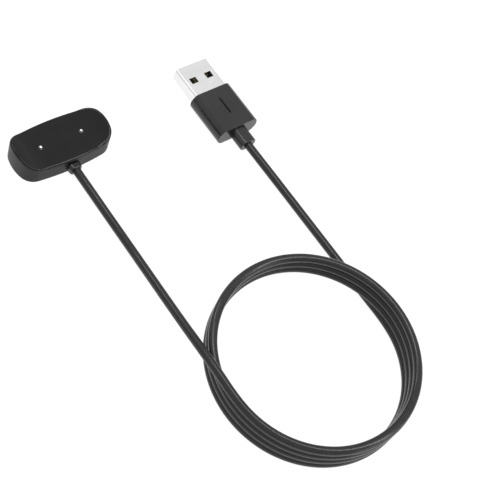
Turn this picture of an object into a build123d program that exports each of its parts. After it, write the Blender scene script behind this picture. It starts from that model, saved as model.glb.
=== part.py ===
from build123d import *
import math
import os

# Charging cable of a fitness tracker: a magnetic two-pin head, a coiled cord and a USB-A plug.
# Millimetres. The origin is the middle of the head's underside on the table, +Z is up, +X runs along the
# head, and the cord leaves the head towards -Y. The plug lies beside the head and points along +Y.

# ---------------------------------------------------------------- driving dimensions: head
HEAD_LENGTH = 30.6
HEAD_WIDTH = 15.1
END_BOW = 1.7                # how far each round end stands out past the corners
SIDE_BOW = 1.05              # the same for each long side
CORNER_RADIUS = 4.8
FACE_HEIGHT = 6.0            # the flat middle of the contact face
RIM_HEIGHT = 8.5             # the raised ends of the contact face
FACE_FLAT = 16.0             # length of the flat middle
HEAD_WALL = 1.3
HEAD_ROOF = 1.0
UNDER_ROUND = 0.8
RIM_ROUND = 0.6
BASE_THICKNESS = 1.1
GLUE_GAP = 0.05              # clearance round glued and pressed pieces

# ---------------------------------------------------------------- driving dimensions: contacts
PIN_SPACING = 13.7
PIN_PROUD = 0.55             # how far a pin stands out of the face at rest
TIP_RADIUS = 0.46
PIN_COLLAR_RADIUS = 0.56
PIN_COLLAR_TOP = 0.34        # depth of the collar's top below the face
PIN_COLLAR_LENGTH = 1.36
TIP_ROUND = 0.3
BARREL_RADIUS = 0.70
BARREL_BORE = 0.60
BARREL_MOUTH = 0.50
BARREL_LIP = 0.30
BARREL_FLOOR = 0.30
TAIL_RADIUS = 0.30
TAIL_LENGTH = 0.90
FIT_GAP = 0.02
SPRING_WIRE = 0.16
SPRING_RADIUS = 0.44
SPRING_TURNS = 5
CARRIER_SIZE = (16.8, 3.4, 1.98)
CARRIER_ROUND = 0.8

# ---------------------------------------------------------------- driving dimensions: board and magnets
BOARD_SIZE = (17.2, 9.0, 0.8)
BOARD_TOP = 2.4
BOARD_ROUND = 1.0
POST_RADIUS = 0.6
POST_SPACING = (14.6, 7.0)
MAGNET_SIZE = (3.2, 7.2, 2.3)
MAGNET_X = 10.8
MAGNET_ROUND = 0.3

# ---------------------------------------------------------------- driving dimensions: cord
CORD_DIAMETER = 2.6
CORD_RADIUS = CORD_DIAMETER / 2
EXIT_HEIGHT = 2.45           # the cord's axis where it leaves the head
NECK_RADIUS = 1.40
COLLAR_SIZE = (4.1, 3.5)      # the end beside the head
COLLAR_END_SIZE = (3.6, 3.2)  # the end that the cord leaves
COLLAR_ROUND = 1.1
COLLAR_END_ROUND = 0.25
COLLAR_LENGTH = 1.6
EXIT_Y = -9.4                # the collar's outer face
KEEPER_SIZE = (4.2, 2.4)
KEEPER_ROUND = 0.8
KEEPER_LENGTH = 0.9
COIL_CENTRE = (24.54, -92.19)
COIL_RADIUS = 29.25
COIL_TURNS = 3.5
COIL_PITCH = 2.886           # rise from one turn to the next
WIRE_RADIUS = 0.35
WIRE_SPREAD = 0.55
HEAD_WIRE_HEIGHT = 3.0
HEAD_WIRE_PAD_X = 3.2
HEAD_WIRE_REACH = (1.0, 2.0)  # how far inside the keeper a wire turns aside, and then down
HEAD_WIRE_BEND = 0.2

# ---------------------------------------------------------------- driving dimensions: plug
PLUG_X = 52.4
PLUG_FRONT = 7.55
PLUG_Z = 3.19                # the plug's axis, half of the grip's thickness above the table
SHELL_SIZE = (12.0, 4.5)     # USB-A
SHELL_LENGTH = 18.75         # USB-A, with the part inside the grip
SHELL_SHEET = 0.3
SHELL_ROUND = 0.8
SHELL_SHOWN = 11.4
SHELL_FRONT_ROUND = 0.2
LATCH_SIZE = (2.4, 2.15)
LATCH_ROUND = 0.12
LATCH_SPACING = 5.8
LATCH_BEHIND_FRONT = 5.83
TONGUE_RECESS = 0.5
TONGUE_THICKNESS = 1.85
CONTACT_WIDTH = 1.0
CONTACT_THICKNESS = 0.25
CONTACT_X = (-3.5, -1.0, 1.0, 3.5)
CONTACT_RECESS = (1.6, 2.6, 2.6, 1.6)
CONTACT_ROUND = 0.15
GRIP_LENGTH = 15.3
GRIP_SECTION = (11.2, 15.1, 2 * PLUG_Z)   # flat width, full width and height
GRIP_END_ROUND = 0.25
GRIP_MARK = (6.4, 0.7, 0.45)  # a plain groove that shows which side is up
GRIP_MARK_FORWARD = 0.75      # of the grip's middle
INNER_SIZE = (10.9, 4.0)
INNER_ROUND = 0.6
INNER_WALL = (1.0, 0.7)
INNER_LENGTH = 5.0
RELIEF_SECTION = (2.0, 5.8, 4.3)
RELIEF_END_ROUND = 0.3
RELIEF_SHOWN = 5.65
PLUG_WIRE_PAD_X = 3.4
PLUG_WIRE_REACH = (1.3, 1.2)  # straight lengths at a wire's cord end and at its contact end
PLUG_WIRE_BEND = 0.5

# ---------------------------------------------------------------- worked-out places
pin_places = {"left": -PIN_SPACING / 2, "right": PIN_SPACING / 2}
barrel_bottom = BOARD_TOP
bore_bottom = barrel_bottom + BARREL_FLOOR
collar_top = FACE_HEIGHT - PIN_COLLAR_TOP
collar_bottom = collar_top - PIN_COLLAR_LENGTH
roof_underside = FACE_HEIGHT - HEAD_ROOF
wall_inside_y = -(HEAD_WIDTH / 2 - HEAD_WALL)
keeper_outer_y = wall_inside_y + GLUE_GAP
keeper_inner_y = keeper_outer_y + KEEPER_LENGTH
coil_top = CORD_RADIUS + COIL_TURNS * COIL_PITCH
coil_x, coil_y = COIL_CENTRE
grip_front = PLUG_FRONT - SHELL_SHOWN
grip_rear = grip_front - GRIP_LENGTH
shell_rear = PLUG_FRONT - SHELL_LENGTH
inner_front = shell_rear - GLUE_GAP
inner_rear = inner_front - INNER_LENGTH
relief_rear = grip_rear - RELIEF_SHOWN
tongue_top = -SHELL_SIZE[1] / 2 + SHELL_SHEET + FIT_GAP + TONGUE_THICKNESS

# ---------------------------------------------------------------- the cord's route where it isn't coiled
# Each list runs along the cord from the head to the plug. The heights are those of the cord's axis: it drops to
# the table from the head, climbs in a long low ramp onto the coil, and leaves the coil along the table.
head_run_points = [
    (0.0, EXIT_Y, EXIT_HEIGHT),
    (0.0, -14.8, EXIT_HEIGHT),
    (0.45, -23.5, 1.32),
    (0.38, -38.5, 1.32),
    (-2.9, -65.0, 7.6),
    (-4.6, -82.0, coil_top + 0.1),
    (coil_x - COIL_RADIUS, coil_y, coil_top),
]
plug_run_points = [
    (coil_x + COIL_RADIUS, coil_y, CORD_RADIUS),
    (53.87, -84.0, CORD_RADIUS),
    (53.78, -38.0, CORD_RADIUS),
    (PLUG_X, -29.6, PLUG_Z),
    (PLUG_X, relief_rear, PLUG_Z),
]


# ---------------------------------------------------------------- helpers
def plug_plane(y):
    """A plane across the plug at y: its own x is +X, its own y is +Z, and it extrudes towards the cord."""
    return Plane(origin=(PLUG_X, y, PLUG_Z), x_dir=(1, 0, 0), z_dir=(0, -1, 0))


def exit_plane(y):
    """The same across the cord's exit from the head."""
    return Plane(origin=(0, y, EXIT_HEIGHT), x_dir=(1, 0, 0), z_dir=(0, -1, 0))


def is_on_shell_outside(point):
    """Whether a point of the plug shell's front is on its outer outline and not on its inner one."""
    across = abs(point.X - PLUG_X)
    up = abs(point.Z - PLUG_Z)
    corner_x = SHELL_SIZE[0] / 2 - SHELL_ROUND
    corner_z = SHELL_SIZE[1] / 2 - SHELL_ROUND
    reach = math.hypot(max(across - corner_x, 0), max(up - corner_z, 0))
    return reach > SHELL_ROUND - SHELL_SHEET / 2


def save(part, name):
    """Name a finished piece and write it as a STEP file."""
    part.label = name
    export_step(part, f"parts/{name}.step")


def head_outline(inset):
    """The head's plan, moved inwards: a rectangle with bowed sides and round corners."""
    half_length = HEAD_LENGTH / 2 - inset
    half_width = HEAD_WIDTH / 2 - inset
    corner_x = half_length - END_BOW
    corner_y = half_width - SIDE_BOW
    with BuildSketch() as outline:
        with BuildLine():
            ThreePointArc((-corner_x, -corner_y), (0, -half_width), (corner_x, -corner_y))
            ThreePointArc((corner_x, -corner_y), (half_length, 0), (corner_x, corner_y))
            ThreePointArc((corner_x, corner_y), (0, half_width), (-corner_x, corner_y))
            ThreePointArc((-corner_x, corner_y), (-half_length, 0), (-corner_x, -corner_y))
        make_face()
        fillet(outline.vertices(), CORNER_RADIUS - inset)
    return outline.sketch


def lens_outline(section, extra=0.0):
    """A flat top and bottom joined by bulging sides. section is (flat width, full width, height)."""
    flat, width, height = (size / 2 + extra for size in section)
    with BuildSketch() as outline:
        with BuildLine():
            top = Line((-flat, height), (flat, height))
            bottom = Line((-flat, -height), (flat, -height))
            ThreePointArc(top @ 1, (width, 0), bottom @ 1)
            ThreePointArc(top @ 0, (-width, 0), bottom @ 0)
        make_face()
    return outline.sketch


def corner_radii(points):
    """The largest arc that the two runs beside each inner point allow."""
    radii = []
    for before, here, after in zip(points, points[1:], points[2:]):
        run_in = Vector(here) - Vector(before)
        run_out = Vector(after) - Vector(here)
        half_turn = math.radians(run_in.get_angle(run_out) / 2)
        radii.append(0.45 * min(run_in.length, run_out.length) / math.tan(half_turn))
    return radii


def cord_tube(points, name):
    """A plain tube along straight runs joined by tangent arcs."""
    radii = corner_radii(points)
    with BuildPart() as tube:
        with BuildLine() as path:
            FilletPolyline(*points, radius=radii)
        with BuildSketch(Plane(origin=path.line @ 0, z_dir=path.line % 0)):
            Circle(CORD_RADIUS)
        sweep(path=path.line)
    length = path.wire().length
    expected = math.pi * CORD_RADIUS**2 * length
    print(name, "length", round(length, 1), "radii", [round(radius, 1) for radius in radii])
    print(name, "volume", round(tube.part.volume, 1), "expected", round(expected, 1))
    return tube.part


def wire(points, bend, name):
    """One insulated conductor along a short bent route."""
    with BuildPart() as conductor:
        with BuildLine() as path:
            FilletPolyline(*points, radius=bend)
        with BuildSketch(Plane(origin=path.line @ 0, z_dir=path.line % 0)):
            Circle(WIRE_RADIUS)
        sweep(path=path.line)
    save(conductor.part, name)


os.makedirs("parts", exist_ok=True)

# ---------------------------------------------------------------- head: housing
with BuildPart() as head_shell:
    extrude(head_outline(0), amount=RIM_HEIGHT + 1)
    # The contact face: flat in the middle, and curved up towards both ends.
    with BuildSketch(Plane.XZ):
        with BuildLine():
            end_x = HEAD_LENGTH / 2
            flat = Line((-FACE_FLAT / 2, FACE_HEIGHT), (FACE_FLAT / 2, FACE_HEIGHT))
            right = TangentArc(flat @ 1, (end_x, RIM_HEIGHT), tangent=(1, 0))
            left = TangentArc(flat @ 0, (-end_x, RIM_HEIGHT), tangent=(-1, 0))
            Polyline(right @ 1, (end_x + 1, RIM_HEIGHT), (end_x + 1, RIM_HEIGHT + 2),
                     (-end_x - 1, RIM_HEIGHT + 2), (-end_x - 1, RIM_HEIGHT), left @ 1)
        make_face()
    extrude(amount=HEAD_WIDTH, both=True, mode=Mode.SUBTRACT)
    fillet(head_shell.edges().group_by(Axis.Z)[0], UNDER_ROUND)
    upper_edges = head_shell.edges().filter_by(lambda edge: edge.bounding_box().min.Z > FACE_HEIGHT - 0.1)
    rim_edges = upper_edges.filter_by(lambda edge: abs((edge @ 0.5).X) > FACE_FLAT / 2 + 0.1
                                      or abs((edge @ 0.5).Y) > HEAD_WIDTH / 4)
    fillet(rim_edges, RIM_ROUND)
    # The cavity, open underneath.
    extrude(head_outline(HEAD_WALL), amount=roof_underside, mode=Mode.SUBTRACT)
    with Locations(*[(x, 0, FACE_HEIGHT - HEAD_ROOF / 2) for x in pin_places.values()]):
        Cylinder(BARREL_RADIUS + FIT_GAP, HEAD_ROOF, mode=Mode.SUBTRACT)
    with BuildSketch(exit_plane(keeper_outer_y)):
        Circle(NECK_RADIUS + FIT_GAP)
    extrude(amount=HEAD_WALL * 2, mode=Mode.SUBTRACT)
save(head_shell.part, "head_shell")

with BuildPart() as head_base:
    extrude(head_outline(HEAD_WALL + GLUE_GAP), amount=BASE_THICKNESS)
    # Four posts carry the circuit board.
    board_underside = BOARD_TOP - BOARD_SIZE[2]
    with BuildSketch(Plane.XY.offset(BASE_THICKNESS)):
        with GridLocations(*POST_SPACING, 2, 2):
            Circle(POST_RADIUS)
    extrude(amount=board_underside - BASE_THICKNESS)
save(head_base.part, "head_base")

# ---------------------------------------------------------------- head: board, carrier and magnets
with BuildPart() as head_board:
    with BuildSketch(Plane.XY.offset(board_underside)):
        RectangleRounded(BOARD_SIZE[0], BOARD_SIZE[1], BOARD_ROUND)
        with Locations(*[(x, 0) for x in pin_places.values()]):
            Circle(TAIL_RADIUS + FIT_GAP, mode=Mode.SUBTRACT)
    extrude(amount=BOARD_SIZE[2])
save(head_board.part, "head_board")

with BuildPart() as contact_carrier:
    with BuildSketch(Plane.XY.offset(roof_underside - FIT_GAP)):
        RectangleRounded(CARRIER_SIZE[0], CARRIER_SIZE[1], CARRIER_ROUND)
        with Locations(*[(x, 0) for x in pin_places.values()]):
            Circle(BARREL_RADIUS + FIT_GAP, mode=Mode.SUBTRACT)
    extrude(amount=-CARRIER_SIZE[2])
save(contact_carrier.part, "contact_carrier")

for side, direction in (("left", -1), ("right", 1)):
    with BuildPart() as magnet:
        with BuildSketch(Plane.XY.offset(roof_underside - FIT_GAP)):
            with Locations((direction * MAGNET_X, 0)):
                RectangleRounded(MAGNET_SIZE[0], MAGNET_SIZE[1], MAGNET_ROUND)
        extrude(amount=-MAGNET_SIZE[2])
    save(magnet.part, f"magnet_{side}")

# ---------------------------------------------------------------- head: the two sprung contacts
for side, x in pin_places.items():
    with BuildPart() as barrel:
        with BuildSketch(Plane.XY.offset(barrel_bottom)):
            with Locations((x, 0)):
                Circle(BARREL_RADIUS)
        extrude(amount=FACE_HEIGHT - barrel_bottom)
        with BuildSketch(Plane.XY.offset(bore_bottom)):
            with Locations((x, 0)):
                Circle(BARREL_BORE)
        extrude(amount=FACE_HEIGHT - BARREL_LIP - bore_bottom, mode=Mode.SUBTRACT)
        with BuildSketch(Plane.XY.offset(FACE_HEIGHT - BARREL_LIP)):
            with Locations((x, 0)):
                Circle(BARREL_MOUTH)
        extrude(amount=BARREL_LIP, mode=Mode.SUBTRACT)
        with BuildSketch(Plane.XY.offset(barrel_bottom)):
            with Locations((x, 0)):
                Circle(TAIL_RADIUS)
        extrude(amount=-TAIL_LENGTH)
    save(barrel.part, f"contact_barrel_{side}")

    with BuildPart() as plunger:
        with BuildSketch(Plane.XY.offset(collar_bottom)):
            with Locations((x, 0)):
                Circle(PIN_COLLAR_RADIUS)
        extrude(amount=PIN_COLLAR_LENGTH)
        with BuildSketch(Plane.XY.offset(collar_top)):
            with Locations((x, 0)):
                Circle(TIP_RADIUS)
        extrude(amount=PIN_COLLAR_TOP + PIN_PROUD)
        fillet(plunger.edges().group_by(Axis.Z)[-1], TIP_ROUND)
    save(plunger.part, f"contact_plunger_{side}")

    with BuildPart() as spring:
        spring_height = collar_bottom - bore_bottom - SPRING_WIRE - FIT_GAP
        with BuildLine() as turns:
            Helix(spring_height / SPRING_TURNS, spring_height, SPRING_RADIUS,
                  center=(x, 0, bore_bottom + SPRING_WIRE / 2 + FIT_GAP / 2))
        with BuildSketch(Plane(origin=turns.line @ 0, z_dir=turns.line % 0)):
            Circle(SPRING_WIRE / 2)
        sweep(path=turns.line, is_frenet=True)
    save(spring.part, f"contact_spring_{side}")

# ---------------------------------------------------------------- head: the cord's collar and conductors
with BuildPart() as head_strain_relief:
    with BuildSketch(exit_plane(keeper_inner_y)):
        RectangleRounded(KEEPER_SIZE[0], KEEPER_SIZE[1], KEEPER_ROUND)
    extrude(amount=KEEPER_LENGTH)
    with BuildSketch(exit_plane(keeper_outer_y)):
        Circle(NECK_RADIUS)
    extrude(amount=keeper_outer_y - EXIT_Y - COLLAR_LENGTH)
    # The collar narrows a little towards the cord.
    with BuildSketch(exit_plane(EXIT_Y + COLLAR_LENGTH)):
        RectangleRounded(COLLAR_SIZE[0], COLLAR_SIZE[1], COLLAR_ROUND)
    with BuildSketch(exit_plane(EXIT_Y)):
        RectangleRounded(COLLAR_END_SIZE[0], COLLAR_END_SIZE[1], COLLAR_ROUND)
    loft()
    fillet(head_strain_relief.edges().group_by(Axis.Y)[0], COLLAR_END_ROUND)
save(head_strain_relief.part, "head_strain_relief")

for name, side in (("head_wire_power", -1), ("head_wire_ground", 1)):
    aside_y, down_y = (keeper_inner_y + reach for reach in HEAD_WIRE_REACH)
    wire([(side * WIRE_SPREAD, keeper_inner_y, HEAD_WIRE_HEIGHT),
          (side * WIRE_SPREAD, aside_y, HEAD_WIRE_HEIGHT),
          (side * HEAD_WIRE_PAD_X, down_y, HEAD_WIRE_HEIGHT),
          (side * HEAD_WIRE_PAD_X, down_y, BOARD_TOP)], HEAD_WIRE_BEND, name)

# ---------------------------------------------------------------- cord
save(cord_tube(head_run_points, "cord_head_run"), "cord_head_run")
save(cord_tube(plug_run_points, "cord_plug_run"), "cord_plug_run")

with BuildPart() as cord_coil:
    with BuildSketch(Plane(origin=(coil_x, coil_y, 0), x_dir=(1, 0, 0), z_dir=(0, -1, 0))):
        with Locations((COIL_RADIUS, (coil_top + CORD_RADIUS) / 2)):
            RectangleRounded(CORD_DIAMETER, coil_top + CORD_RADIUS, CORD_RADIUS - 0.1)
    revolve(axis=Axis((coil_x, coil_y, 0), (0, 0, 1)))
save(cord_coil.part, "cord_coil")
coil_length = COIL_TURNS * math.hypot(2 * math.pi * COIL_RADIUS, COIL_PITCH)
print("length in the coil", round(coil_length, 1))

# ---------------------------------------------------------------- plug: shell, tongue and contacts
with BuildPart() as plug_shell:
    with BuildSketch(plug_plane(PLUG_FRONT)):
        RectangleRounded(SHELL_SIZE[0], SHELL_SIZE[1], SHELL_ROUND)
        RectangleRounded(SHELL_SIZE[0] - 2 * SHELL_SHEET, SHELL_SIZE[1] - 2 * SHELL_SHEET,
                         SHELL_ROUND - SHELL_SHEET, mode=Mode.SUBTRACT)
    extrude(amount=SHELL_LENGTH)
    front_edges = plug_shell.edges().group_by(Axis.Y)[-1]
    outer_edges = front_edges.filter_by(lambda edge: is_on_shell_outside(edge @ 0.5))
    fillet(outer_edges, SHELL_FRONT_ROUND)
    # Two latch holes through the upper wall and two through the lower one.
    with BuildSketch(Plane.XY.offset(PLUG_Z)):
        with Locations((PLUG_X, PLUG_FRONT - LATCH_BEHIND_FRONT)):
            with GridLocations(LATCH_SPACING, 0, 2, 1):
                RectangleRounded(LATCH_SIZE[0], LATCH_SIZE[1], LATCH_ROUND)
    extrude(amount=SHELL_SIZE[1], both=True, mode=Mode.SUBTRACT)
save(plug_shell.part, "plug_shell")

tongue_width = SHELL_SIZE[0] - 2 * (SHELL_SHEET + FIT_GAP)
with BuildPart() as plug_tongue:
    with BuildSketch(plug_plane(PLUG_FRONT - TONGUE_RECESS)):
        with Locations((0, tongue_top - TONGUE_THICKNESS / 2)):
            RectangleRounded(tongue_width, TONGUE_THICKNESS, SHELL_ROUND - SHELL_SHEET)
    extrude(amount=SHELL_LENGTH - TONGUE_RECESS)
    # A slot for each contact.
    for x, recess in zip(CONTACT_X, CONTACT_RECESS):
        with BuildSketch(plug_plane(PLUG_FRONT - recess + FIT_GAP)):
            with Locations((x, tongue_top - CONTACT_THICKNESS / 2)):
                Rectangle(CONTACT_WIDTH + 2 * FIT_GAP, CONTACT_THICKNESS + 2 * FIT_GAP)
        extrude(amount=SHELL_LENGTH, mode=Mode.SUBTRACT)
save(plug_tongue.part, "plug_tongue")

for number, (x, recess) in enumerate(zip(CONTACT_X, CONTACT_RECESS), start=1):
    with BuildPart() as plug_contact:
        with BuildSketch(plug_plane(PLUG_FRONT - recess)):
            with Locations((x, tongue_top - CONTACT_THICKNESS / 2)):
                Rectangle(CONTACT_WIDTH, CONTACT_THICKNESS)
        extrude(amount=SHELL_LENGTH - recess)
        front_top = plug_contact.edges().group_by(Axis.Y)[-1].sort_by(Axis.Z)[-1]
        fillet(front_top, CONTACT_ROUND)
    save(plug_contact.part, f"plug_contact_{number}")

# ---------------------------------------------------------------- plug: inner block, grip and strain relief
with BuildPart() as plug_inner_mould:
    with BuildSketch(plug_plane(inner_front)):
        RectangleRounded(INNER_SIZE[0], INNER_SIZE[1], INNER_ROUND)
    extrude(amount=INNER_LENGTH)
    # The hollow that the conductors pass through.
    with BuildSketch(plug_plane(inner_front)):
        RectangleRounded(INNER_SIZE[0] - 2 * INNER_WALL[0], INNER_SIZE[1] - 2 * INNER_WALL[1], INNER_ROUND)
    extrude(amount=INNER_LENGTH, mode=Mode.SUBTRACT)
save(plug_inner_mould.part, "plug_inner_mould")

with BuildPart() as plug_overmould:
    with BuildSketch(plug_plane(grip_front)):
        add(lens_outline(GRIP_SECTION))
    extrude(amount=GRIP_LENGTH)
    end_edges = plug_overmould.edges().filter_by(lambda edge: edge.bounding_box().size.Y < FIT_GAP)
    fillet(end_edges, GRIP_END_ROUND)
    with BuildSketch(plug_plane(grip_front)):
        RectangleRounded(SHELL_SIZE[0] + 2 * FIT_GAP, SHELL_SIZE[1] + 2 * FIT_GAP, SHELL_ROUND + FIT_GAP)
    extrude(amount=grip_front - shell_rear + FIT_GAP, mode=Mode.SUBTRACT)
    with BuildSketch(plug_plane(shell_rear)):
        RectangleRounded(INNER_SIZE[0] + 2 * FIT_GAP, INNER_SIZE[1] + 2 * FIT_GAP, INNER_ROUND + FIT_GAP)
    extrude(amount=shell_rear - inner_rear + 2 * FIT_GAP, mode=Mode.SUBTRACT)
    with BuildSketch(plug_plane(inner_rear)):
        add(lens_outline(RELIEF_SECTION, FIT_GAP))
    extrude(amount=GRIP_LENGTH, mode=Mode.SUBTRACT)
    # The plain groove on the upper face.
    with BuildSketch(Plane.XY.offset(2 * PLUG_Z)):
        with Locations((PLUG_X, (grip_front + grip_rear) / 2 + GRIP_MARK_FORWARD)):
            SlotOverall(GRIP_MARK[0], GRIP_MARK[1], rotation=90)
    extrude(amount=-GRIP_MARK[2], mode=Mode.SUBTRACT)
save(plug_overmould.part, "plug_overmould")

with BuildPart() as plug_strain_relief:
    with BuildSketch(plug_plane(inner_rear - 2 * FIT_GAP)):
        add(lens_outline(RELIEF_SECTION))
    extrude(amount=inner_rear - 2 * FIT_GAP - relief_rear)
    fillet(plug_strain_relief.edges().group_by(Axis.Y)[0], RELIEF_END_ROUND)
save(plug_strain_relief.part, "plug_strain_relief")

# The two conductors run from the cord's end, inside the strain relief, to the outer contacts' tails.
tail_z = PLUG_Z + tongue_top + WIRE_RADIUS
for name, side in (("plug_wire_power", -1), ("plug_wire_ground", 1)):
    wire([(PLUG_X + side * WIRE_SPREAD, inner_rear - FIT_GAP, tail_z),
          (PLUG_X + side * WIRE_SPREAD, inner_rear + PLUG_WIRE_REACH[0], tail_z),
          (PLUG_X + side * PLUG_WIRE_PAD_X, inner_front - PLUG_WIRE_REACH[1], tail_z),
          (PLUG_X + side * PLUG_WIRE_PAD_X, shell_rear + FIT_GAP, tail_z)], PLUG_WIRE_BEND, name)
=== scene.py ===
"""Looks of a fitness tracker's charging cable: a magnetic two-pin head, a coiled cord and a USB-A plug.

The scene is in metres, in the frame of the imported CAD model: the head stands at the origin and the cord
leaves it towards -Y. Values that are given in millimetres are multiplied by MM where they are used.
"""

import math

import bmesh
import bpy
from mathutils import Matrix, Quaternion, Vector


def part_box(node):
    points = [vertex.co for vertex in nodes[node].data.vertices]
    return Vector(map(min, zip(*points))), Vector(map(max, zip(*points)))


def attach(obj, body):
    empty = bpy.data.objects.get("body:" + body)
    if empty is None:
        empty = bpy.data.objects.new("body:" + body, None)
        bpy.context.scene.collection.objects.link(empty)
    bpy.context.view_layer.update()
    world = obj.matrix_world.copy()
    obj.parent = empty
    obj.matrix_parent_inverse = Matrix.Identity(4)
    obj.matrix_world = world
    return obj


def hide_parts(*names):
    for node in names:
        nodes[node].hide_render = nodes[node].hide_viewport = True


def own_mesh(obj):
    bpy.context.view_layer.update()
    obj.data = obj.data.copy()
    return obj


MM = 0.001

# ---------------------------------------------------------------- camera
CAMERA_PLACE = Vector((-133.69, -146.55, 275.67)) * MM
CAMERA_TARGET = Vector((31.67, -50.07, 0.0)) * MM
CAMERA_ROLL = math.radians(27.77)
CAMERA_LENS = 85.69
CAMERA_SENSOR = 36.0

# ---------------------------------------------------------------- cord, in millimetres
CORD_DIAMETER = 2.6
CORD_EXIT = (0.0, -9.4, 2.45)
HEAD_RUN = [
    CORD_EXIT,
    (0.0, -14.8, 2.45),
    (0.45, -23.5, 1.32),
    (0.38, -38.5, 1.32),
    (-2.9, -65.0, 7.6),
    (-4.6, -82.0, 11.5),
]
PLUG_RUN = [
    (53.87, -84.0, 1.3),
    (53.85, -75.9, 1.3),
    (53.80, -46.4, 1.3),
    (53.78, -38.0, 1.3),
    (52.4, -29.9, 3.19),
    (52.4, -24.8, 3.19),
]
COIL_CENTRE = (24.54, -92.19)
COIL_RADIUS = 29.25
COIL_TURNS = 3.5
COIL_PITCH = 2.886
COIL_BOTTOM = CORD_DIAMETER / 2
COIL_START = math.pi          # the coil begins on its -X side
POINTS_PER_TURN = 24

# ---------------------------------------------------------------- stage, in metres
FLOOR_SIZE = 4.0
FLOOR_DROP = 0.00002          # keeps the floor just clear of the undersides that rest on it
FLOOR_TONE = 0.12
FLOOR_GLOW = 0.94
SURROUND_LOW = 0.30           # strength of the surround at the horizon
SURROUND_HIGH = 0.86          # strength of the surround overhead
SURROUND_RISE = 0.45          # sine of the angle above the horizon where it reaches its full strength


# ================================================================ node helpers
def add_node(tree, kind, **settings):
    """A new shader node with some of its properties set."""
    made = tree.nodes.new(kind)
    for name, value in settings.items():
        setattr(made, name, value)
    return made


def place_coordinates(tree, stretch=(1.0, 1.0, 1.0)):
    """Object coordinates, scaled along each axis. A scale below 1 draws a pattern out along that axis."""
    coordinates = add_node(tree, "ShaderNodeTexCoord")
    mapping = add_node(tree, "ShaderNodeMapping")
    mapping.inputs["Scale"].default_value = stretch
    tree.links.new(coordinates.outputs["Object"], mapping.inputs["Vector"])
    return mapping.outputs["Vector"]


def noise(tree, size, detail=3.0, stretch=(1.0, 1.0, 1.0), roughness=0.5):
    """A noise pattern whose features are about size millimetres across."""
    texture = add_node(tree, "ShaderNodeTexNoise")
    texture.inputs["Scale"].default_value = 1.0 / (size * MM)
    texture.inputs["Detail"].default_value = detail
    texture.inputs["Roughness"].default_value = roughness
    tree.links.new(place_coordinates(tree, stretch), texture.inputs["Vector"])
    return texture.outputs["Fac"]


def remap(tree, value, source, result=(0.0, 1.0)):
    """value from the range source to the range result, clamped. Each range is a pair of numbers."""
    made = add_node(tree, "ShaderNodeMapRange")
    made.inputs["From Min"].default_value = source[0]
    made.inputs["From Max"].default_value = source[1]
    made.inputs["To Min"].default_value = result[0]
    made.inputs["To Max"].default_value = result[1]
    tree.links.new(value, made.inputs["Value"])
    return made.outputs["Result"]


def math_node(tree, operation, first, second=0.0):
    """One operation on one or two values, each a socket or a number."""
    made = add_node(tree, "ShaderNodeMath", operation=operation)
    for socket, value in zip(made.inputs, (first, second)):
        if isinstance(value, (int, float)):
            socket.default_value = value
        else:
            tree.links.new(value, socket)
    return made.outputs["Value"]


def shade(tone, factor):
    """A tone made brighter or darker by a factor, and never brighter than white."""
    return tuple(min(1.0, factor * part) for part in tone)


def mix_colours(tree, share, first, second):
    """From first to second by share. Each colour is three numbers or a socket."""
    made = add_node(tree, "ShaderNodeMix", data_type="RGBA")
    tree.links.new(share, made.inputs["Factor"])
    colour_sockets = [socket for socket in made.inputs if socket.type == "RGBA"]
    for socket, value in zip(colour_sockets, (first, second)):
        if isinstance(value, tuple):
            socket.default_value = (*value, 1.0)
        else:
            tree.links.new(value, socket)
    return next(socket for socket in made.outputs if socket.type == "RGBA")


def bump(tree, height, depth, normal=None):
    """Relief of a height pattern, depth millimetres deep."""
    made = add_node(tree, "ShaderNodeBump")
    made.inputs["Strength"].default_value = 1.0
    made.inputs["Distance"].default_value = depth * MM
    tree.links.new(height, made.inputs["Height"])
    if normal is not None:
        tree.links.new(normal, made.inputs["Normal"])
    return made.outputs["Normal"]


def soft_edges(tree, radius):
    """A normal that rounds the sharp edges by radius millimetres."""
    made = add_node(tree, "ShaderNodeBevel", samples=4)
    made.inputs["Radius"].default_value = radius * MM
    return made.outputs["Normal"]


def edge_share(tree, radius):
    """About 1 within radius millimetres of an edge, and 0 on open surfaces."""
    rounded = soft_edges(tree, radius)
    geometry = add_node(tree, "ShaderNodeNewGeometry")
    made = add_node(tree, "ShaderNodeVectorMath", operation="DOT_PRODUCT")
    tree.links.new(rounded, made.inputs[0])
    tree.links.new(geometry.outputs["Normal"], made.inputs[1])
    return remap(tree, made.outputs["Value"], (0.80, 0.995), (1.0, 0.0))


def side_share(tree, most):
    """most on surfaces that stand upright or look down, falling to 0 on those that look up."""
    geometry = add_node(tree, "ShaderNodeNewGeometry")
    split = add_node(tree, "ShaderNodeSeparateXYZ")
    tree.links.new(geometry.outputs["Normal"], split.inputs["Vector"])
    return remap(tree, split.outputs["Z"], (0.35, 0.85), (most, 0.0))


def hairlines(tree, size, width, stretch):
    """Sparse thin scratches drawn out along one axis: 1 in a scratch and 0 beside it."""
    texture = add_node(tree, "ShaderNodeTexVoronoi", feature="DISTANCE_TO_EDGE")
    texture.inputs["Scale"].default_value = 1.0 / (size * MM)
    texture.inputs["Randomness"].default_value = 1.0
    tree.links.new(place_coordinates(tree, stretch), texture.inputs["Vector"])
    line = remap(tree, texture.outputs["Distance"], (0.0, width), (1.0, 0.0))
    patches = remap(tree, noise(tree, 5.0, detail=2.0), (0.55, 0.70))
    return math_node(tree, "MULTIPLY", line, patches)


def new_material(name):
    """A material with a Principled shader: (material, tree, shader)."""
    material = bpy.data.materials.new(name)
    material.use_nodes = True
    return material, material.node_tree, material.node_tree.nodes["Principled BSDF"]


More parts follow.
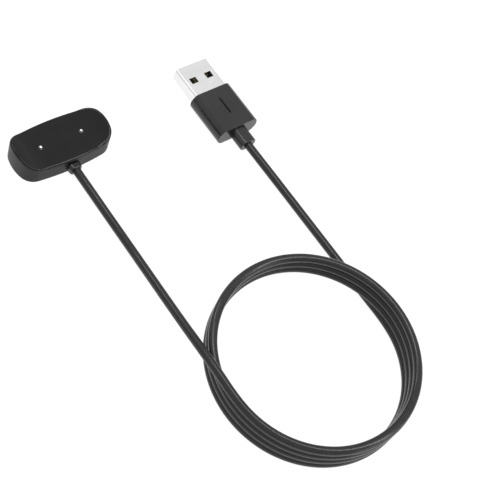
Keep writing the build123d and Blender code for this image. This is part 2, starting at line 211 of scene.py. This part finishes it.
# ================================================================ materials
def moulded_plastic(name, dark, light, rough, grain, peel, edge_radius, specular, side_rough=0.0):
    """Black moulded plastic: mottling, moulding grain, orange peel, faint scratches and slightly worn edges.

    dark and light are the two tones, rough is the lowest and highest roughness, and grain and peel are each
    (size, depth) in millimetres. side_rough is added to the roughness of the upright sides, which are less
    polished than the top."""
    material, tree, shader = new_material(name)
    mottle = remap(tree, noise(tree, 5.0, detail=4.0), (0.35, 0.65))
    tone = mix_colours(tree, mottle, dark, light)
    worn_tone = shade(light, 2.2)
    wear_patches = remap(tree, noise(tree, 1.3), (0.45, 0.70), (0.0, 0.5))
    wear = math_node(tree, "MULTIPLY", edge_share(tree, edge_radius), wear_patches)
    tree.links.new(mix_colours(tree, wear, tone, worn_tone), shader.inputs["Base Color"])

    smudges = remap(tree, noise(tree, 2.4), (0.35, 0.70), rough)
    scratches = hairlines(tree, 1.1, 0.012, stretch=(1.0, 0.16, 1.0))
    scratch_roughness = math_node(tree, "MULTIPLY", scratches, 0.12)
    top_roughness = math_node(tree, "ADD", smudges, scratch_roughness)
    roughness = math_node(tree, "ADD", top_roughness, side_share(tree, side_rough))
    tree.links.new(roughness, shader.inputs["Roughness"])

    peel_size, peel_depth = peel
    grain_size, grain_depth = grain
    rounded = soft_edges(tree, edge_radius)
    peeled = bump(tree, noise(tree, peel_size, detail=1.0), peel_depth, rounded)
    grained = bump(tree, noise(tree, grain_size, detail=2.0), grain_depth, peeled)
    tree.links.new(grained, shader.inputs["Normal"])
    shader.inputs["Specular IOR Level"].default_value = specular
    shader.inputs["IOR"].default_value = 1.50
    return material


def cord_jacket():
    """Black TPE of the cord's jacket: satin, with a little dust, a fine grain and a slow waviness."""
    material, tree, shader = new_material("cord_jacket")
    mottle = remap(tree, noise(tree, 3.0, detail=4.0), (0.35, 0.65))
    dust = remap(tree, noise(tree, 0.35, detail=2.0), (0.66, 0.76), (0.0, 0.15))
    tone = mix_colours(tree, mottle, (0.0095, 0.0095, 0.0101), (0.0130, 0.0130, 0.0136))
    dusty = mix_colours(tree, dust, tone, (0.045, 0.045, 0.046))
    tree.links.new(dusty, shader.inputs["Base Color"])
    roughness = remap(tree, noise(tree, 1.6), (0.35, 0.68), (0.19, 0.26))
    tree.links.new(roughness, shader.inputs["Roughness"])
    wavy = bump(tree, noise(tree, 2.2, detail=1.0), 0.004)
    grained = bump(tree, noise(tree, 0.16, detail=1.0), 0.0004, wavy)
    tree.links.new(grained, shader.inputs["Normal"])
    shader.inputs["Specular IOR Level"].default_value = 0.42
    shader.inputs["IOR"].default_value = 1.50
    return material


def drawn_metal(name, tone, dull_tone, rough, stretch, line_depth, edge_radius, spots=0.0):
    """Plated or bare metal with fine drawing lines, a cloudy polish and edges made slightly brighter by a
    painted highlight.

    rough is the lowest and highest roughness, stretch draws the lines out, line_depth and edge_radius are in
    millimetres, and spots is how strongly scattered spots darken it."""
    material, tree, shader = new_material(name)
    lines = noise(tree, 0.09, stretch=stretch, roughness=0.6)
    cloud = remap(tree, noise(tree, 3.5), (0.35, 0.70))
    colour = mix_colours(tree, cloud, tone, dull_tone)
    if spots:
        spot = remap(tree, noise(tree, 0.6), (0.68, 0.80), (0.0, spots))
        colour = mix_colours(tree, spot, colour, shade(dull_tone, 0.55))
    # Painted highlight: the base colour turns lighter within edge_radius of every edge, standing in for edges
    # catching the light.
    painted_edge_highlight = math_node(tree, "MULTIPLY", edge_share(tree, edge_radius), 0.6)
    tree.links.new(mix_colours(tree, painted_edge_highlight, colour, shade(tone, 1.08)), shader.inputs["Base Color"])
    tree.links.new(remap(tree, lines, (0.30, 0.70), rough), shader.inputs["Roughness"])
    lined = bump(tree, lines, line_depth, soft_edges(tree, edge_radius))
    tree.links.new(lined, shader.inputs["Normal"])
    shader.inputs["Metallic"].default_value = 1.0
    return material


def turned_metal(name, tone, rough, middles):
    """Turned metal: fine rings round the nearest of the middles, and a polish that is worn in patches."""
    ring_width = 0.05 * MM
    material, tree, shader = new_material(name)
    coordinates = add_node(tree, "ShaderNodeTexCoord")
    nearest = None
    for middle in middles:
        flat = add_node(tree, "ShaderNodeVectorMath", operation="MULTIPLY_ADD")
        flat.inputs[1].default_value = (1.0, 1.0, 0.0)
        flat.inputs[2].default_value = (-middle[0], -middle[1], 0.0)
        tree.links.new(coordinates.outputs["Object"], flat.inputs[0])
        reach = add_node(tree, "ShaderNodeVectorMath", operation="LENGTH")
        tree.links.new(flat.outputs["Vector"], reach.inputs[0])
        distance = reach.outputs["Value"]
        nearest = distance if nearest is None else math_node(tree, "MINIMUM", nearest, distance)
    rings = math_node(tree, "SINE", math_node(tree, "MULTIPLY", nearest, 2 * math.pi / ring_width))
    lifted = remap(tree, rings, (-1.0, 1.0))
    worn = remap(tree, noise(tree, 0.35), (0.45, 0.70))
    tree.links.new(mix_colours(tree, worn, tone, shade(tone, 0.82)), shader.inputs["Base Color"])
    tree.links.new(remap(tree, worn, (0.0, 1.0), rough), shader.inputs["Roughness"])
    tree.links.new(bump(tree, lifted, 0.0012, soft_edges(tree, 0.05)), shader.inputs["Normal"])
    shader.inputs["Metallic"].default_value = 1.0
    return material


def circuit_board():
    """Green solder mask over a fine glass weave, with paler copper tracks beneath it."""
    weave_size = 2.5 * MM
    material, tree, shader = new_material("circuit_board")
    weave_x = add_node(tree, "ShaderNodeTexWave", wave_type="BANDS", bands_direction="X")
    weave_y = add_node(tree, "ShaderNodeTexWave", wave_type="BANDS", bands_direction="Y")
    for weave in (weave_x, weave_y):
        weave.inputs["Scale"].default_value = 1.0 / weave_size
        tree.links.new(place_coordinates(tree), weave.inputs["Vector"])
    woven = math_node(tree, "MULTIPLY", weave_x.outputs["Fac"], weave_y.outputs["Fac"])
    tracks = remap(tree, noise(tree, 2.2, detail=0.0), (0.50, 0.54))
    base = mix_colours(tree, tracks, (0.010, 0.085, 0.035), (0.020, 0.17, 0.065))
    threads = math_node(tree, "MULTIPLY", woven, 0.25)
    tree.links.new(mix_colours(tree, threads, base, (0.03, 0.20, 0.09)), shader.inputs["Base Color"])
    tree.links.new(remap(tree, noise(tree, 1.0), (0.3, 0.7), (0.22, 0.36)), shader.inputs["Roughness"])
    tree.links.new(bump(tree, tracks, 0.03, soft_edges(tree, 0.08)), shader.inputs["Normal"])
    return material


def wire_insulation(name, dark, light):
    """PVC of a thin conductor: a soft gloss, with a slow change of tone and a slightly uneven surface."""
    material, tree, shader = new_material(name)
    tone = remap(tree, noise(tree, 0.9), (0.35, 0.65))
    tree.links.new(mix_colours(tree, tone, dark, light), shader.inputs["Base Color"])
    tree.links.new(remap(tree, noise(tree, 0.5), (0.3, 0.7), (0.28, 0.42)), shader.inputs["Roughness"])
    tree.links.new(bump(tree, noise(tree, 0.25, detail=2.0), 0.006), shader.inputs["Normal"])
    return material


# ================================================================ painting the CAD nodes
def paint(nodes, names, material):
    """Give CAD nodes a material, in one slot each."""
    for name in names:
        node = nodes[name]
        node.data.materials.clear()
        node.data.materials.append(material)


def paint_plastics(nodes):
    """The black mouldings outside, and the insulators inside."""
    head_plastic = moulded_plastic(
        "head_plastic", dark=(0.0050, 0.0050, 0.0054), light=(0.0066, 0.0066, 0.0070), rough=(0.09, 0.15),
        grain=(0.16, 0.0005), peel=(1.1, 0.0010), edge_radius=0.12, specular=0.27, side_rough=0.32)
    grip_plastic = moulded_plastic(
        "grip_plastic", dark=(0.0120, 0.0120, 0.0128), light=(0.0150, 0.0150, 0.0158), rough=(0.15, 0.23),
        grain=(0.14, 0.0010), peel=(0.9, 0.0016), edge_radius=0.18, specular=0.50)
    relief_plastic = moulded_plastic(
        "relief_plastic", dark=(0.0110, 0.0110, 0.0118), light=(0.0145, 0.0145, 0.0152), rough=(0.16, 0.24),
        grain=(0.12, 0.0010), peel=(0.8, 0.0016), edge_radius=0.18, specular=0.50)
    collar_plastic = moulded_plastic(
        "collar_plastic", dark=(0.0040, 0.0040, 0.0043), light=(0.0060, 0.0060, 0.0064), rough=(0.08, 0.14),
        grain=(0.12, 0.0005), peel=(0.7, 0.0012), edge_radius=0.15, specular=0.50)
    insulator = moulded_plastic(
        "insulator", dark=(0.0050, 0.0050, 0.0052), light=(0.0080, 0.0080, 0.0082), rough=(0.40, 0.52),
        grain=(0.10, 0.0030), peel=(0.7, 0.0020), edge_radius=0.06, specular=0.40)
    paint(nodes, ["head_shell"], head_plastic)
    paint(nodes, ["plug_overmould"], grip_plastic)
    paint(nodes, ["head_base", "plug_strain_relief"], relief_plastic)
    paint(nodes, ["head_strain_relief"], collar_plastic)
    paint(nodes, ["contact_carrier", "plug_tongue", "plug_inner_mould"], insulator)


def paint_plug_metals(nodes):
    """The plug's shell and its four contacts, both drawn lengthwise."""
    shell_metal = drawn_metal(
        "shell_metal", tone=(0.86, 0.86, 0.87), dull_tone=(0.80, 0.80, 0.81), rough=(0.24, 0.32),
        stretch=(1.0, 0.05, 1.0), line_depth=0.0003, edge_radius=0.08)
    contact_gold = drawn_metal(
        "contact_gold", tone=(0.70, 0.57, 0.34), dull_tone=(0.60, 0.48, 0.28), rough=(0.14, 0.26),
        stretch=(1.0, 0.06, 1.0), line_depth=0.0004, edge_radius=0.04)
    paint(nodes, ["plug_shell"], shell_metal)
    paint(nodes, [f"plug_contact_{number}" for number in (1, 2, 3, 4)], contact_gold)


def paint_head_metals(nodes):
    """The head's spring contacts and magnets."""
    middles = []
    for side in ("left", "right"):
        low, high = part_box(f"contact_plunger_{side}")
        middles.append(((low.x + high.x) / 2, (low.y + high.y) / 2))
    pin_metal = turned_metal("pin_metal", tone=(0.93, 0.93, 0.94), rough=(0.06, 0.20), middles=middles)
    barrel_metal = turned_metal("barrel_metal", tone=(0.13, 0.125, 0.12), rough=(0.12, 0.24), middles=middles)
    spring_steel = drawn_metal(
        "spring_steel", tone=(0.62, 0.62, 0.64), dull_tone=(0.50, 0.50, 0.52), rough=(0.25, 0.40),
        stretch=(1.0, 1.0, 0.3), line_depth=0.0008, edge_radius=0.02)
    magnet_nickel = drawn_metal(
        "magnet_nickel", tone=(0.68, 0.67, 0.65), dull_tone=(0.58, 0.57, 0.55), rough=(0.16, 0.32),
        stretch=(1.0, 1.0, 1.0), line_depth=0.0010, edge_radius=0.10, spots=0.5)
    paint(nodes, ["contact_plunger_left", "contact_plunger_right"], pin_metal)
    paint(nodes, ["contact_barrel_left", "contact_barrel_right"], barrel_metal)
    paint(nodes, ["contact_spring_left", "contact_spring_right"], spring_steel)
    paint(nodes, ["magnet_left", "magnet_right"], magnet_nickel)


def paint_board_and_wires(nodes):
    """The head's circuit board, and the two conductors at each end of the cord."""
    wire_red = wire_insulation("wire_red", dark=(0.38, 0.012, 0.012), light=(0.50, 0.022, 0.020))
    wire_black = wire_insulation("wire_black", dark=(0.012, 0.012, 0.012), light=(0.022, 0.022, 0.023))
    paint(nodes, ["head_board"], circuit_board())
    paint(nodes, ["head_wire_power", "plug_wire_power"], wire_red)
    paint(nodes, ["head_wire_ground", "plug_wire_ground"], wire_black)


# ================================================================ contact springs
def squash_springs(nodes):
    """Give each contact spring a mesh of its own."""
    for side in ("left", "right"):
        spring = nodes[f"contact_spring_{side}"]
        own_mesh(spring)


# ================================================================ cord
def coil_points():
    """The loop's points from the top of the coil down to the table, anticlockwise seen from above."""
    step_angle = 2 * math.pi / POINTS_PER_TURN
    # A quadratic spline runs inside its control points: halfway along a span it lies at six eighths of the
    # nearest point and an eighth of each neighbour. So the control points stand a little outside the loop.
    control_radius = COIL_RADIUS / (6 / 8 + 2 / 8 * math.cos(step_angle))
    steps = round(COIL_TURNS * POINTS_PER_TURN)
    points = []
    for step in range(steps + 1):
        angle = COIL_START + step_angle * step
        height = COIL_BOTTOM + COIL_PITCH * COIL_TURNS * (1 - step / steps)
        points.append((COIL_CENTRE[0] + control_radius * math.cos(angle),
                       COIL_CENTRE[1] + control_radius * math.sin(angle), height))
    return points


def make_cord(jacket):
    """The cord in one piece, from the head's collar through the coil to the plug's strain relief."""
    curve = bpy.data.curves.new("cord", "CURVE")
    curve.dimensions = "3D"
    curve.bevel_depth = CORD_DIAMETER / 2 * MM
    curve.bevel_resolution = 7
    curve.use_fill_caps = True
    points = HEAD_RUN + coil_points() + PLUG_RUN
    spline = curve.splines.new("NURBS")
    spline.points.add(len(points) - 1)
    for control, place in zip(spline.points, points):
        control.co = (place[0] * MM, place[1] * MM, place[2] * MM, 1.0)
    spline.order_u = 3
    spline.use_endpoint_u = True
    spline.resolution_u = 12
    spline.use_smooth = True
    curve.materials.append(jacket)
    cord = bpy.data.objects.new("cord", curve)
    bpy.context.scene.collection.objects.link(cord)
    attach(cord, "charger")
    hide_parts("cord_head_run", "cord_coil", "cord_plug_run")
    return cord


# ================================================================ stage
def make_floor():
    """A flat white floor that gives its own even light, like a light table, so shadows on it are faint."""
    mesh = bpy.data.meshes.new("floor")
    grid = bmesh.new()
    bmesh.ops.create_grid(grid, x_segments=1, y_segments=1, size=FLOOR_SIZE)
    grid.to_mesh(mesh)
    grid.free()
    floor = bpy.data.objects.new("floor", mesh)
    floor.location = (0.0, 0.0, -FLOOR_DROP)
    bpy.context.scene.collection.objects.link(floor)
    material, _, shader = new_material("floor_paper")
    shader.inputs["Base Color"].default_value = (FLOOR_TONE, FLOOR_TONE, FLOOR_TONE, 1.0)
    shader.inputs["Roughness"].default_value = 0.9
    shader.inputs["Specular IOR Level"].default_value = 0.2
    shader.inputs["Emission Color"].default_value = (1.0, 1.0, 1.0, 1.0)
    shader.inputs["Emission Strength"].default_value = FLOOR_GLOW
    mesh.materials.append(material)


def make_area_light(name, place, target, size, radiance, turn=0.0):
    """A rectangular softbox, turned by turn degrees about the line to its target.

    One that hangs overhead has its first side along X and its second along Y before it is turned."""
    light = bpy.data.lights.new(name, "AREA")
    light.shape = "RECTANGLE"
    light.size, light.size_y = size
    light.energy = radiance * math.pi * size[0] * size[1]
    lamp = bpy.data.objects.new(name, light)
    lamp.location = place
    lamp.rotation_mode = "QUATERNION"
    direction = Vector(target) - Vector(place)
    straight = direction.to_track_quat("-Z", "Y")
    lamp.rotation_quaternion = straight @ Quaternion((0.0, 0.0, 1.0), math.radians(turn))
    bpy.context.scene.collection.objects.link(lamp)


def make_lights():
    """Two softboxes overhead, for bright lines along the black pieces, and a low one facing the coil."""
    make_area_light("overhead_strip", place=(0.155, -0.215, 0.25), target=(0.155, -0.215, 0.0),
                    size=(0.045, 0.64), radiance=7.0, turn=27.0)
    make_area_light("back_strip", place=(0.010, 0.240, 0.25), target=(0.010, 0.240, 0.0),
                    size=(0.045, 0.16), radiance=8.0)
    make_area_light("low_panel", place=(0.40, -0.80, 0.12), target=(0.024, -0.092, 0.005),
                    size=(0.60, 0.20), radiance=2.5)


def make_world():
    """A white surround that is darker low down."""
    world = bpy.data.worlds.new("studio")
    world.use_nodes = True
    tree = world.node_tree
    background = tree.nodes["Background"]
    background.inputs["Color"].default_value = (1.0, 1.0, 1.0, 1.0)
    coordinates = add_node(tree, "ShaderNodeTexCoord")
    split = add_node(tree, "ShaderNodeSeparateXYZ")
    tree.links.new(coordinates.outputs["Generated"], split.inputs["Vector"])
    strength = remap(tree, split.outputs["Z"], (0.0, SURROUND_RISE), (SURROUND_LOW, SURROUND_HIGH))
    tree.links.new(strength, background.inputs["Strength"])
    bpy.context.scene.world = world


def make_camera():
    """The main view, looking down at the cable with the picture rolled about the line of sight."""
    data = bpy.data.cameras.new("camera")
    data.lens = CAMERA_LENS
    data.sensor_width = CAMERA_SENSOR
    data.clip_start = 0.01
    data.clip_end = 20.0
    camera = bpy.data.objects.new("camera", data)
    camera.location = CAMERA_PLACE
    camera.rotation_mode = "QUATERNION"
    level = (CAMERA_TARGET - CAMERA_PLACE).to_track_quat("-Z", "Y")
    camera.rotation_quaternion = level @ Quaternion((0.0, 0.0, 1.0), CAMERA_ROLL)
    bpy.context.scene.collection.objects.link(camera)
    bpy.context.scene.camera = camera


# ================================================================ the scene
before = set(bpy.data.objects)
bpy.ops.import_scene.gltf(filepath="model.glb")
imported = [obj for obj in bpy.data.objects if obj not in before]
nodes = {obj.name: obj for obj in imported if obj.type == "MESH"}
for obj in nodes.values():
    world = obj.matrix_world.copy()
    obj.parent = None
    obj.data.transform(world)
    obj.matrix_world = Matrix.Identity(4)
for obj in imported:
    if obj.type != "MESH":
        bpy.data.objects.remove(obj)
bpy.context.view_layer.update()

make_camera()
cord = make_cord(cord_jacket())

paint_plastics(nodes)
paint_plug_metals(nodes)
paint_head_metals(nodes)
paint_board_and_wires(nodes)
squash_springs(nodes)

make_floor()
make_world()
make_lights()
bpy.context.scene.view_settings.view_transform = "Standard"
